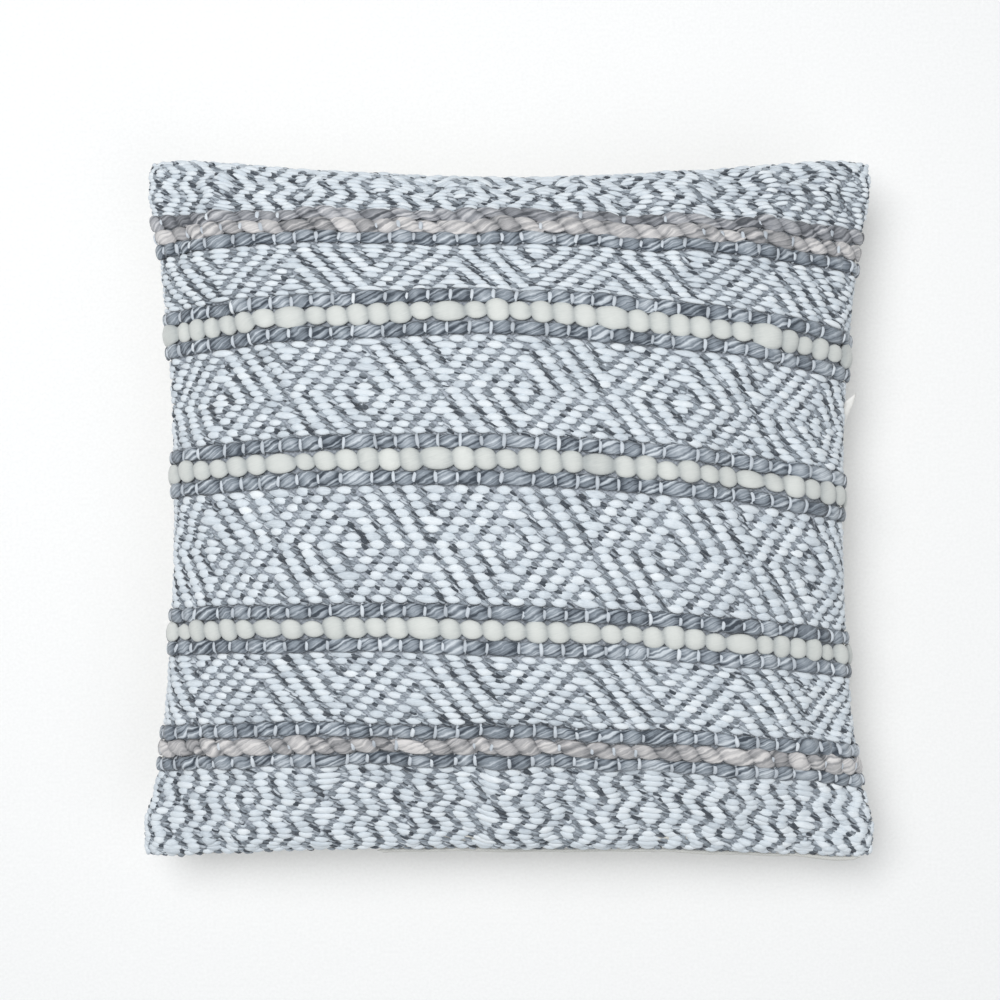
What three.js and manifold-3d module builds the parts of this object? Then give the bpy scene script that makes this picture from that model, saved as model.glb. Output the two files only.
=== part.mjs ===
// A square throw pillow: a handwoven cover, closed by a zip in its bottom seam, over a filled insert.
// It lies on its back. +X is its right, +Y its top edge and +Z the way its face looks. Millimetres.
import * as THREE from "three";
import { mergeVertices } from "three/addons/utils/BufferGeometryUtils.js";
import Module from "manifold-3d";

const wasm = await Module();
wasm.setup();

// The cushion's outline, in the plane of its seam.
const CORNER_X = 223; // half the width at the corners
const CORNER_Y = 217.5; // half the height at the corners
const PULL_X = 17; // how far the middle of the left and right sides is drawn in
const PULL_Y = 11; // how far the middle of the top and bottom sides is drawn in
const ZIP_EDGE_POWER = 4; // the zip keeps the bottom edge straighter than the top, which is a parabola
const CORNER_CUT = 0.02; // the share by which each corner is rounded off
const CORNER_SHARPNESS = 16;

// Its fullness.
const CROWN = 71; // the face's height over the seam
const BELLY = 62; // the back's depth under the seam
const FULLNESS = 0.56; // the power of the profile, 0.5 being an ellipse
const FLAT_SHARE = 0.92; // the back is flat where it would be deeper than this share of its depth
const CLOTH_RISE = 0.03; // how much the crown moves a weft line towards the edge
const WEFT_BOW = 0.07; // how far the middle of every weft line is bowed towards the top
const WEFT_SLANT = 0.032; // how far every weft line is turned, its right end down
const SEAM_GAP = 0.15; // half the gap between the two panels
const SEAM_Z = BELLY + SEAM_GAP;

// The cover's layers, each as a depth under its outer surface.
const PANEL_THICK = 3;
const TAPE_DEPTH = [3.5, 4.3];
const THREAD_DEPTH = [4, 4.6];
const THREAD_THICK = 0.4;
const INSERT_DEPTH = [8, 9];
const INSERT_THREAD_DEPTH = [9.8, 10.4];
const FILL_DEPTH = 11.2;
const FILL_GAP = 0.05; // half the filling's thickness at its rim

// The face's weft stripes: middles as distances down from the top edge, on the flat cloth.
const CLOTH_HEIGHT = 427;
const STRIPE_MIDDLES = [56, 117, 200, 293, 361];
const OUTER_ROVING = { width: 8.6, rise: 3.0, colour: 0x868b93 };
const IVORY_ROVING = { width: 11, rise: 3.8, colour: 0xd9d8d0 };
const TAUPE_ROVING = { width: 9.6, rise: 3.2, colour: 0x9a9490 };
const STRIPE_CORES = [TAUPE_ROVING, IVORY_ROVING, IVORY_ROVING, IVORY_ROVING, TAUPE_ROVING];
const ROVING_LIFT = 0.4; // clear of the panel
const ROVING_SIDE = 0.25; // clear of its neighbours

// The zip, whose chain runs straight along X between the two lips of the bottom seam.
const ZIP_LIP = 4.4; // each lip's height over the middle of the chain
const ZIP_BLEND = 0.15; // the share of the cloth over which a lip settles back
const CHAIN_FACE = PULL_Y - CORNER_Y + 0.8; // the outer face of the coils, just inside the lips
const COIL = { inner: 0.6, width: 2, thick: 2 };
const TAPE_FACE = CHAIN_FACE + COIL.thick + 0.3;
const TAPE_THICK = 0.8;
const CHAIN_HALF = 138;
const STOP_LONG = 3;
const SLIDER_LONG = 9;
const SLIDER_HALF_WIDE = 3.5;
const PLATE_THICK = 1.2;
const PULLER_LONG = 24;

const COLUMNS = 24; // cells across the face, spaced evenly round its curve
const ZIP_COLUMNS = 6; // cells each side of the middle that the zip opening takes
const BACK_CELLS = 16;
const INSERT_CELLS = 14;

const CLOTH = { roughness: 0.95, metalness: 0 };
const METAL = { roughness: 0.35, metalness: 1 };
const root = new THREE.Group();

function add(name, geometry, colour, finish = CLOTH) {
  const material = new THREE.MeshStandardMaterial({ color: colour, ...finish });
  const mesh = new THREE.Mesh(geometry, material);
  mesh.name = name;
  root.add(mesh);
  return mesh;
}

// ---- the cushion's surface ----

// Evenly spaced round a half circle, from -1 to 1, so that steep ends get as many cells as the middle.
const rounded = (cells) =>
  Array.from({ length: cells + 1 }, (_, i) => Math.sin(Math.PI * (i / cells - 0.5)));

const smooth = (x) => THREE.MathUtils.smoothstep(x, 0, 1);

// How open the bottom seam is, 1 along the zip and 0 past it.
function opening(u) {
  const last = Math.sin((Math.PI * ZIP_COLUMNS) / COLUMNS);
  const next = Math.sin((Math.PI * (ZIP_COLUMNS + 1)) / COLUMNS);
  return 1 - smooth((Math.abs(u) - last) / (next - last));
}

// How far the zip holds a point's side of the bottom seam open.
const lipRise = (u, t) => (ZIP_LIP - SEAM_GAP) * opening(u) * smooth(1 - (t + 1) / ZIP_BLEND);

// Half the cushion's width at a share v of its half length.
const halfWidth = (v) => CORNER_X - PULL_X * (1 - v * v);

// A point of the cushion: u across and t up the flat cloth, each from -1 to 1, on the face (side 1) or
// the back (side -1), at a depth under the outer surface.
function place(u, t, side, depth = 0) {
  const loose = 1 - t ** 4;
  const raised = CLOTH_RISE * Math.sin(Math.PI * t) + WEFT_BOW * loose;
  const v = t + raised * (1 - u * u) - WEFT_SLANT * u * loose;
  const cut = 1 - CORNER_CUT * Math.abs(u * v) ** CORNER_SHARPNESS;
  const edgePower = v < 0 ? ZIP_EDGE_POWER : 2;
  const halfX = halfWidth(v) - depth;
  const halfY = CORNER_Y - PULL_Y * (1 - Math.abs(u) ** edgePower) - depth;
  const full = (Math.max(0, 1 - u * u) * Math.max(0, 1 - v * v)) ** FULLNESS;
  const share = side > 0 ? full : Math.min(1, full / FLAT_SHARE);
  const height = ((side > 0 ? CROWN : BELLY) - depth) * share;
  return new THREE.Vector3(
    u * halfX * cut,
    v * halfY * cut,
    SEAM_Z + side * (SEAM_GAP + height + lipRise(u, t)),
  );
}

const sheetAt = (columns, rows, side, depth) =>
  columns.map((u) => rows.map((t) => place(u, t, side, depth)));

// ---- closed bodies ----

// A body from points and faces of any winding that agrees all over: it is turned to face out.
function bodyOf(points, triangles) {
  let volume = 0;
  const triple = new THREE.Vector3();
  for (const [a, b, c] of triangles)
    volume += points[a].dot(triple.crossVectors(points[b], points[c]));
  const index = triangles.flatMap(([a, b, c]) => (volume > 0 ? [a, b, c] : [a, c, b]));
  const geometry = new THREE.BufferGeometry().setFromPoints(points);
  geometry.setIndex(index);
  geometry.computeVertexNormals();
  return geometry;
}

// The slab between two grids of points of one size.
function slab(outer, inner) {
  const rows = outer[0].length;
  const points = [...outer.flat(), ...inner.flat()];
  const half = points.length / 2;
  const triangles = [];
  const quad = (a, b, c, d) => triangles.push([a, b, c], [a, c, d]);
  for (let i = 0; i + 1 < outer.length; i++)
    for (let j = 0; j + 1 < rows; j++) {
      const [a, b] = [i * rows + j, (i + 1) * rows + j];
      const round = [a, b, b + 1, a + 1];
      // Every cell is split along the line that runs out towards its own corner of the grid.
      if ((2 * i + 2 - outer.length) * (2 * j + 2 - rows) < 0) round.push(round.shift());
      const [first, second, third, fourth] = round;
      quad(first, second, third, fourth);
      quad(half + first, half + fourth, half + third, half + second);
    }
  const rim = [];
  for (let i = 0; i + 1 < outer.length; i++) rim.push(i * rows);
  for (let j = 0; j + 1 < rows; j++) rim.push((outer.length - 1) * rows + j);
  for (let i = outer.length - 1; i > 0; i--) rim.push(i * rows + rows - 1);
  for (let j = rows - 1; j > 0; j--) rim.push(j);
  rim.forEach((a, k) => {
    const b = rim[(k + 1) % rim.length];
    quad(a, half + a, half + b, b);
  });
  return bodyOf(points, triangles);
}

// A body through a run of convex sections, either closed on itself or capped at both ends.
function loft(sections, closed = false) {
  const sides = sections[0].length;
  const points = sections.flat();
  const triangles = [];
  const spans = closed ? sections.length : sections.length - 1;
  for (let i = 0; i < spans; i++)
    for (let k = 0; k < sides; k++) {
      const next = ((i + 1) % sections.length) * sides;
      const [a, b] = [i * sides + k, i * sides + ((k + 1) % sides)];
      const [c, d] = [next + ((k + 1) % sides), next + k];
      triangles.push([a, b, c], [a, c, d]);
    }
  const end = (sections.length - 1) * sides;
  for (let k = 1; !closed && k + 1 < sides; k++)
    triangles.push([0, k + 1, k], [end, end + k, end + k + 1]);
  return bodyOf(points, triangles);
}

function solidOf(geometry) {
  const bare = new THREE.BufferGeometry().setAttribute("position", geometry.getAttribute("position"));
  if (geometry.index) bare.setIndex(geometry.index);
  const merged = mergeVertices(bare, 1e-4);
  const mesh = new wasm.Mesh({
    numProp: 3,
    vertProperties: merged.attributes.position.array,
    triVerts: new Uint32Array(merged.index.array),
  });
  return new wasm.Manifold(mesh);
}

function geometryOf(solid) {
  const { vertProperties, triVerts } = solid.getMesh();
  const geometry = new THREE.BufferGeometry();
  geometry.setAttribute("position", new THREE.BufferAttribute(vertProperties, 3));
  geometry.setIndex(new THREE.BufferAttribute(triVerts, 1));
  geometry.computeVertexNormals();
  return geometry;
}

const join = (...geometries) =>
  geometryOf(geometries.map(solidOf).reduce((whole, next) => whole.add(next)));

// A box from its lowest to its highest corner.
function block(low, high) {
  const size = high.map((x, i) => x - low[i]);
  const middle = high.map((x, i) => (x + low[i]) / 2);
  return new THREE.BoxGeometry(...size).translate(...middle);
}

// ---- the cover's cloth ----

const down = (distance) => 1 - (2 * distance) / CLOTH_HEIGHT;
const columns = rounded(COLUMNS);
const stripes = STRIPE_MIDDLES.map((middle, i) => {
  const core = STRIPE_CORES[i];
  const half = core.width / 2;
  const bounds = [-half - OUTER_ROVING.width, -half, half, half + OUTER_ROVING.width];
  return { core, bounds: bounds.map((offset) => down(middle + offset)) };
});

// The face's weft lines: both sides of every roving, and an even step or more between stripes.
function faceRows() {
  const rows = [1, 0.985, 0.955, 0.9];
  const steps = [1, 2, 3, 3, 2];
  stripes.forEach(({ bounds }, i) => {
    const from = rows.at(-1);
    for (let k = 1; k < steps[i]; k++) rows.push(from + ((bounds[0] - from) * k) / steps[i]);
    rows.push(...bounds);
  });
  return [...rows, -0.87, -0.93, -0.97, -0.985, -1].reverse();
}

const rows = faceRows();
add(
  "front_panel",
  slab(sheetAt(columns, rows, 1, 0), sheetAt(columns, rows, 1, PANEL_THICK)),
  0xb9bec6,
);

const backRows = [-1, -0.985, -0.97, ...rounded(BACK_CELLS).slice(2)];
add(
  "back_panel",
  slab(sheetAt(columns, backRows, -1, 0), sheetAt(columns, backRows, -1, PANEL_THICK)),
  0xd8d5cc,
);

// A roving lies on one row of the panel's cells: a flat foot with a round top.
function roving(low, high, { rise }) {
  const arch = [
    [0.14, 0.7],
    [0.5, 1],
    [0.86, 0.7],
  ];
  return loft(
    columns.slice(1, -1).map((u) => {
      const across = (share, lift) => {
        const foot = place(u, low, 1, -lift);
        return foot.lerp(place(u, high, 1, -lift), share);
      };
      const side = ROVING_SIDE / (((high - low) * CLOTH_HEIGHT) / 2);
      const top = arch.map(([share, lift]) => across(share, ROVING_LIFT + rise * lift));
      return [across(side, ROVING_LIFT), ...top, across(1 - side, ROVING_LIFT)];
    }),
  );
}

stripes.forEach(({ core, bounds }, i) => {
  const kinds = { upper: OUTER_ROVING, middle: core, lower: OUTER_ROVING };
  Object.entries(kinds).forEach(([where, kind], k) => {
    const name = `stripe_${i + 1}_roving_${where}`;
    add(name, roving(bounds[k + 1], bounds[k], kind), kind.colour);
  });
});

// The care label's free end, out of the right side seam.
function careLabel() {
  const [low, high] = [40, 66];
  const [thick, out] = [0.8, 6];
  const edge = (y) => halfWidth(y / CORNER_Y) + 0.5;
  const section = (y) => [
    new THREE.Vector3(edge(y), y, SEAM_Z - thick / 2),
    new THREE.Vector3(edge(y) + out, y, SEAM_Z - thick / 2),
    new THREE.Vector3(edge(y) + out, y, SEAM_Z + thick / 2),
    new THREE.Vector3(edge(y), y, SEAM_Z + thick / 2),
  ];
  return loft([section(low), section(high)]);
}
add("care_label", careLabel(), 0xf2f2f0);

// Points round the seam, from one end of the zip opening to the other when open is true.
function seamRun(grid, open) {
  const bottom = open ? grid.filter((u) => u > 0 && opening(u) === 0) : grid;
  const right = grid.map((t) => [1, t]);
  const top = grid.map((u) => [-u, 1]);
  const left = grid.map((t) => [-1, -t]);
  const start = bottom.map((u) => [u, -1]);
  const run = [...start, ...right.slice(1), ...top.slice(1), ...left.slice(1)];
  const back = bottom.map((u) => [-u, -1]).reverse();
  return open ? [...run, ...back.slice(1)] : run.slice(0, -1);
}

// A thread of square section that runs round inside the seam.
function seamThread([near, far], grid, open) {
  const half = THREAD_THICK / 2;
  const sections = seamRun(grid, open).map(([u, t]) => {
    const [outer, inner] = [place(u, t, 1, near), place(u, t, 1, far)];
    const at = (point, z) => new THREE.Vector3(point.x, point.y, SEAM_Z + z);
    return [at(outer, -half), at(inner, -half), at(inner, half), at(outer, half)];
  });
  return loft(sections, !open);
}
add("cover_seam_thread", seamThread(THREAD_DEPTH, columns, true), 0xe6e4de);

// ---- the zip ----

const zipColumns = columns.slice(COLUMNS / 2 - ZIP_COLUMNS, COLUMNS / 2 + ZIP_COLUMNS + 1);

// One tape: flat behind its coil, then up behind the panel that it is sewn to.
function zipTape(side) {
  const bends = [COIL.inner, ZIP_LIP - 0.6];
  const behind = [-1, -0.985, -0.97];
  const sheet = (depth, y) =>
    zipColumns.map((u) => {
      const flat = bends.map((z) => new THREE.Vector3(place(u, -1, side).x, y, SEAM_Z + side * z));
      const sewn = behind.map((t) => place(u, t, side, depth));
      return [...flat, ...sewn];
    });
  return slab(sheet(TAPE_DEPTH[0], TAPE_FACE), sheet(TAPE_DEPTH[1], TAPE_FACE + TAPE_THICK));
}

// One half of the chain: a bar with a round back that stands for the sewn coil.
function zipCoil(side) {
  const half = COIL.thick / 2;
  const round = [0, 0.25, 0.5, 0.75, 1].map((k) => Math.PI * k);
  return loft(
    [-CHAIN_HALF, CHAIN_HALF].map((x) => [
      new THREE.Vector3(x, CHAIN_FACE, SEAM_Z + side * COIL.inner),
      ...round.map((angle) => {
        const z = COIL.inner + half + Math.sin(angle) * (COIL.width - half);
        return new THREE.Vector3(x, CHAIN_FACE + half - Math.cos(angle) * half, SEAM_Z + side * z);
      }),
      new THREE.Vector3(x, CHAIN_FACE + COIL.thick, SEAM_Z + side * COIL.inner),
    ]),
  );
}

// A stop crimped on the chain's end. It starts clear of the coils.
function zipStop(left, low, high) {
  return block([left, CHAIN_FACE - 0.4, SEAM_Z + low], [left + STOP_LONG, TAPE_FACE - 0.3, SEAM_Z + high]);
}

const chainWide = COIL.inner + COIL.width;
const stopLeft = CHAIN_HALF + 0.3;
for (const [where, side] of [["front", 1], ["back", -1]]) {
  add(`zip_tape_${where}`, zipTape(side), 0xcfcdc6);
  add(`zip_coil_${where}`, zipCoil(side), 0xe2e0da, { roughness: 0.5, metalness: 0 });
  const [low, high] = [COIL.inner * side, chainWide * side].sort((a, b) => a - b);
  add(`zip_top_stop_${where}`, zipStop(stopLeft, low, high), 0xb4b4b4, METAL);
}
add("zip_bottom_stop", zipStop(-stopLeft - STOP_LONG, -chainWide, chainWide), 0xb4b4b4, METAL);

// The slider, at the closed end of the zip: two plates joined by a post between the coils, with
// flanges round the chain and a bridge that holds the puller.
const SLIDER_X = CHAIN_HALF - SLIDER_LONG / 2 - 0.2;
const PLATE_BACK = CHAIN_FACE - 0.35; // the outer plate's face towards the chain
const PLATE_FACE = PLATE_BACK - PLATE_THICK;
const UNDER_FACE = TAPE_FACE + TAPE_THICK + 0.35;
const PIN_Y = PLATE_FACE - 0.75; // the puller turns about this line, along Z
const PIN_HALF = 0.45;
const BRIDGE = { half: 3.3, leg: 0.8, halfWide: 0.8, under: PIN_Y - 0.75, thick: 0.9 };

function sliderPlate(y) {
  const [long, wide] = [SLIDER_LONG / 2, SLIDER_HALF_WIDE];
  const outline = new THREE.Shape();
  outline.moveTo(-long, -wide * 0.72);
  outline.lineTo(-long, wide * 0.72);
  outline.quadraticCurveTo(-long * 0.3, wide, long * 0.6, wide);
  outline.quadraticCurveTo(long, wide, long, wide * 0.5);
  outline.lineTo(long, -wide * 0.5);
  outline.quadraticCurveTo(long, -wide, long * 0.6, -wide);
  outline.quadraticCurveTo(-long * 0.3, -wide, -long, -wide * 0.72);
  const plate = new THREE.ExtrudeGeometry(outline, {
    depth: PLATE_THICK,
    bevelEnabled: false,
    curveSegments: 5,
  });
  return plate.rotateX(-Math.PI / 2).translate(SLIDER_X, y, SEAM_Z);
}

function zipSlider() {
  const x = SLIDER_X;
  const { half, leg, halfWide, under, thick } = BRIDGE;
  const postHalf = COIL.inner - 0.3;
  const flangeIn = chainWide + 0.25;
  const post = block(
    [x + 1, PLATE_BACK - 0.2, SEAM_Z - postHalf],
    [x + 4, UNDER_FACE + 0.2, SEAM_Z + postHalf],
  );
  const flanges = [-1, 1].map((side) => {
    const [low, high] = [side * flangeIn, side * SLIDER_HALF_WIDE].sort((a, b) => a - b);
    return block([x - 1, PLATE_BACK - 0.3, SEAM_Z + low], [x + 3, TAPE_FACE - 0.35, SEAM_Z + high]);
  });
  const legs = [-half, half - leg].map((at) =>
    block([x + at, under - 0.1, SEAM_Z - halfWide], [x + at + leg, PLATE_FACE + 0.2, SEAM_Z + halfWide]),
  );
  const top = block(
    [x - half, under - thick, SEAM_Z - halfWide],
    [x + half, under, SEAM_Z + halfWide],
  );
  return join(sliderPlate(PLATE_FACE), sliderPlate(UNDER_FACE), post, ...flanges, ...legs, top);
}
add("zip_slider", zipSlider(), 0xaeb0b3, METAL);

// The puller lies back along the chain, with its eye's bar under the bridge.
function zipPuller() {
  const [neck, wide] = [2.2, 2.7];
  const outline = new THREE.Shape();
  outline.moveTo(-PIN_HALF, -neck);
  outline.lineTo(-PIN_HALF, neck);
  outline.lineTo(7, neck);
  outline.lineTo(9, wide);
  outline.lineTo(PULLER_LONG - wide, wide);
  outline.absarc(PULLER_LONG - wide, 0, wide, Math.PI / 2, -Math.PI / 2, true);
  outline.lineTo(9, -wide);
  outline.lineTo(7, -neck);
  const eye = new THREE.Path();
  eye.moveTo(PIN_HALF, -1.3);
  eye.lineTo(4.6, -1.3);
  eye.lineTo(4.6, 1.3);
  eye.lineTo(PIN_HALF, 1.3);
  outline.holes.push(eye);
  const grip = new THREE.Path();
  grip.absarc(PULLER_LONG - 4.2, 0, 1.2, 0, 2 * Math.PI, false);
  outline.holes.push(grip);
  const plate = new THREE.ExtrudeGeometry(outline, {
    depth: 2 * PIN_HALF,
    bevelEnabled: false,
    curveSegments: 6,
  });
  return plate.translate(0, 0, -PIN_HALF).rotateX(-Math.PI / 2).rotateZ(Math.PI);
}
const puller = add("zip_puller", zipPuller(), 0xb9bbbd, METAL);
puller.position.set(SLIDER_X, PIN_Y, SEAM_Z);

// ---- the insert ----

const insertGrid = rounded(INSERT_CELLS);

// A sheet of the insert. It isn't sewn to the zip, so its seam stays shut there.
function insertSheet(side, depth, gap) {
  return insertGrid.map((u) =>
    insertGrid.map((t) => {
      const point = place(u, t, side, depth);
      point.z += side * (gap - SEAM_GAP - lipRise(u, t));
      return point;
    }),
  );
}

for (const [where, side] of [["front", 1], ["back", -1]]) {
  const [outer, inner] = INSERT_DEPTH.map((depth) => insertSheet(side, depth, SEAM_GAP));
  add(`insert_shell_${where}`, slab(outer, inner), 0xf0efeb);
}
add("insert_seam_thread", seamThread(INSERT_THREAD_DEPTH, insertGrid, false), 0xf5f5f2);

// The filling: the space inside both shells and their seam thread.
add(
  "insert_fill",
  slab(insertSheet(1, FILL_DEPTH, FILL_GAP), insertSheet(-1, FILL_DEPTH, FILL_GAP)),
  0xffffff,
);

export default root;
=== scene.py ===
"""A handwoven throw pillow: its cloth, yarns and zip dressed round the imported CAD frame, in metres."""
import math
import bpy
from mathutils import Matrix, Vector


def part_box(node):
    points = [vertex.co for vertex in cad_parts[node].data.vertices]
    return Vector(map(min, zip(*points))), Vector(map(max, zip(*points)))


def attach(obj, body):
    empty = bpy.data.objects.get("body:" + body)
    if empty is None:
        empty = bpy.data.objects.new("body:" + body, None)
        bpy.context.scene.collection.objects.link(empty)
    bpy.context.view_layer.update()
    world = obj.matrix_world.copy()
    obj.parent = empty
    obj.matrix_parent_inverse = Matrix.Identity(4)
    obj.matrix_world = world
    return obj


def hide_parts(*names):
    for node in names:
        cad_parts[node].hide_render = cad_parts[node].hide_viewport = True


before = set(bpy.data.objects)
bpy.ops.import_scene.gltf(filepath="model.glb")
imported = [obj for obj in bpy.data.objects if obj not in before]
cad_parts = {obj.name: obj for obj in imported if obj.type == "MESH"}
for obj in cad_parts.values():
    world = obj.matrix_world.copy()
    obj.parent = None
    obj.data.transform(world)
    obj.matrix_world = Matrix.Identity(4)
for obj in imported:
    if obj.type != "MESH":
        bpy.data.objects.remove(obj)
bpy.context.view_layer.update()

import zlib

import bpy
import numpy as np
from mathutils import Vector

MM = 0.001

# ---- the cushion's size and shape, as its CAD solids have it ----

CORNER_X, CORNER_Y = 223 * MM, 217.5 * MM  # half the cushion's width and length at its corners
PULL_X, PULL_Y = 17 * MM, 11 * MM  # how far the middle of a side is pulled in
TOP_EDGE_POWER, ZIP_EDGE_POWER = 2, 4
CORNER_CUT, CORNER_SHARPNESS = 0.036, 11
CROWN, BELLY = 71 * MM, 62 * MM
FULLNESS = 0.56
FLAT_SHARE = 0.92  # the share of the belly's height past which it lies flat
CLOTH_RISE, WEFT_BOW, WEFT_SLANT = 0.03, 0.07, 0.032
SEAM_GAP, SEAM_Z = 0.15 * MM, 62.15 * MM
ZIP_LIP, ZIP_BLEND = 4.4 * MM, 0.15
ZIP_OPEN = math.sin(math.pi / 4)  # the zip's half length, as a share of the cushion's
ZIP_SHUT = math.sin(math.pi * 7 / 24)
EAR_TOP, EAR_BOTTOM = 3 * MM, 5.5 * MM  # how far the cloth's corners stand out sideways
EAR_FROM, EAR_FADE = 0.7, 0.2  # where towards a corner an ear begins, and how soon it is full
LEFT_DRAW, RIGHT_DRAW = 2.5 * MM, 4 * MM  # how far the seams draw the cloth in, inside the CAD outline
TOP_DRAW, FOOT_DRAW = 4.5 * MM, 1.5 * MM
FRONT, BACK = 1, -1
WORDS = {FRONT: "front", BACK: "back"}

# ---- the weave ----

CLOTH_HEIGHT = 427 * MM
HEM = 1.6 * MM  # the plain cloth below the last row, which keeps its yarns off the zip's slider
STRIPE_MIDDLES = [56 * MM, 117 * MM, 200 * MM, 293 * MM, 361 * MM]
OUTER_WIDTH, OUTER_RISE = 8.6 * MM, 3.0 * MM
CORES = {"ivory": (11 * MM, 3.8 * MM), "taupe": (9.6 * MM, 3.2 * MM)}
STRIPE_CORES = ["taupe", "ivory", "ivory", "ivory", "taupe"]
END_PITCH = 3.06 * MM  # from one warp end to the next, along the cloth
REPEAT = 30  # warp ends in one point repeat
SHAFTS = 4
FIRST_POINT = 0.016  # where a point column crosses the middle row, as a share of half the width
WARP_LEAN = 0.083  # how far the warp leans to the right for each metre up the cloth
SPARE_ENDS = 6  # warp ends counted beyond each side seam, because the warp leans
# Which shaft ties down each white row, from the top of the cloth to its foot.
DRAFT = {
    "top": [1, 0, 3, 3, 2, 1, 1, 2, 3, 3, 2, 1, 1, 2, 3, 3],
    "a": [3, 3, 2, 1, 0, 3, 2, 1, 0, 3],
    "b": [3, 0, 1, 2, 3, 0, 1, 2, 3, 2, 1, 0, 3, 2, 1],
    "c": [0, 1, 2, 3, 0, 1, 2, 3, 2, 1, 0, 3, 2, 1, 0],
    "d": [3, 2, 1, 0, 3, 2, 1, 0, 3, 2, 1],
    "foot": [2, 3, 3, 2, 1, 1, 2, 3, 3, 2, 1, 1, 2, 3, 3, 2],
}
OUTER_TIE, CORE_TIE = 3, 0  # the shafts that tie down the rovings


def smooth(x):
    x = np.clip(x, 0, 1)
    return x * x * (3 - 2 * x)


def down(distance):
    """The cloth's t, 1 at its top edge and -1 at its foot, at a distance down from the top edge."""
    return 1 - 2 * distance / CLOTH_HEIGHT


def unit(vectors):
    return vectors / (np.linalg.norm(vectors, axis=-1, keepdims=True) + 1e-12)


def lengths_along(points):
    """The distance of each point of a line from its first, along the line."""
    return np.concatenate([[0], np.cumsum(np.linalg.norm(np.diff(points, axis=0), axis=1))])


def swollen(points, scale):
    """Points moved away from the cushion's middle, or towards it."""
    middle = np.array([0, 0, SEAM_Z])
    return middle + (points - middle) * scale


def seed_of(name):
    """A random generator of the piece's own, so that no piece depends on the order they are made in."""
    return np.random.default_rng(zlib.crc32(name.encode()))


def place(u, t, side, depth=0.0):
    """Points of the cushion, u across and t up the flat cloth, each from -1 to 1, at a depth inside it."""
    loose = 1 - t**4
    raised = CLOTH_RISE * np.sin(np.pi * t) + WEFT_BOW * loose
    v = t + raised * (1 - u * u) - WEFT_SLANT * u * loose
    cut = 1 - CORNER_CUT * np.abs(u * v) ** CORNER_SHARPNESS
    power = np.where(v < 0, ZIP_EDGE_POWER, TOP_EDGE_POWER)
    draw = np.where(v < 0, FOOT_DRAW, TOP_DRAW) * v**8
    half_y = CORNER_Y - (PULL_Y + draw) * (1 - np.abs(u) ** power) - depth
    ear = np.where(v > 0, EAR_TOP, EAR_BOTTOM) * smooth((np.abs(v) - EAR_FROM) / EAR_FADE)
    draw = np.where(u < 0, LEFT_DRAW, RIGHT_DRAW) * (1 - v**4)
    half_x = CORNER_X - PULL_X * (1 - v * v) + (ear - draw) * u**8 - depth
    full = (np.maximum(0, 1 - u * u) * np.maximum(0, 1 - v * v)) ** FULLNESS
    share = full if side == FRONT else np.minimum(1, full / FLAT_SHARE)
    opening = 1 - smooth((np.abs(u) - ZIP_OPEN) / (ZIP_SHUT - ZIP_OPEN))
    lip = (ZIP_LIP - SEAM_GAP) * opening * smooth(1 - (t + 1) / ZIP_BLEND)
    height = ((CROWN if side == FRONT else BELLY) - depth) * share
    return np.stack([u * half_x * cut, v * half_y * cut, SEAM_Z + side * (SEAM_GAP + height + lip)], -1)


# ---- building meshes from arrays ----


def linked(name, data):
    made = bpy.data.objects.new(name, data)
    bpy.context.scene.collection.objects.link(made)
    return made


def mesh_object(name, points, faces, **fields):
    """A smooth-shaded object from an array of points, arrays of faces, and one value per point a field."""
    mesh = bpy.data.meshes.new(name)
    points = np.asarray(points, float).reshape(-1, 3)
    mesh.vertices.add(len(points))
    mesh.vertices.foreach_set("co", points.astype(np.float32).ravel())
    sizes = np.concatenate([np.full(len(f), f.shape[1]) for f in faces])
    corners = np.concatenate([f.ravel() for f in faces])
    mesh.loops.add(len(corners))
    mesh.loops.foreach_set("vertex_index", corners.astype(np.int32))
    mesh.polygons.add(len(sizes))
    starts = np.concatenate([[0], np.cumsum(sizes)[:-1]])
    mesh.polygons.foreach_set("loop_start", starts.astype(np.int32))
    mesh.polygons.foreach_set("loop_total", sizes.astype(np.int32))
    for field, values in fields.items():
        attribute = mesh.attributes.new(field, "FLOAT", "POINT")
        attribute.data.foreach_set("value", np.asarray(values, np.float32).ravel())
    mesh.update()
    mesh.validate()
    mesh.shade_smooth()
    return linked(name, mesh)


def grid_faces(columns, rows, flip=False):
    """Quads of a grid of points, numbered column by column."""
    i, j = np.meshgrid(np.arange(columns - 1), np.arange(rows - 1), indexing="ij")
    a = (i * rows + j).ravel()
    quads = np.stack([a, a + rows, a + rows + 1, a + 1], -1)
    return quads[:, ::-1] if flip else quads


def tube_faces(stations, sides):
    """Quads and cap triangles of one tube: its rings of points in turn, then its two end points."""
    i, k = np.meshgrid(np.arange(stations - 1), np.arange(sides), indexing="ij")
    here, onward = i * sides + k, i * sides + (k + 1) % sides
    quads = np.stack([here, onward, onward + sides, here + sides], -1).reshape(-1, 4)
    k = np.arange(sides)
    last = (stations - 1) * sides
    first_cap = np.stack([(k + 1) % sides, k, np.full(sides, stations * sides)], -1)
    last_cap = np.stack([last + k, last + (k + 1) % sides, np.full(sides, stations * sides + 1)], -1)
    return quads, np.concatenate([first_cap, last_cap])


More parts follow.
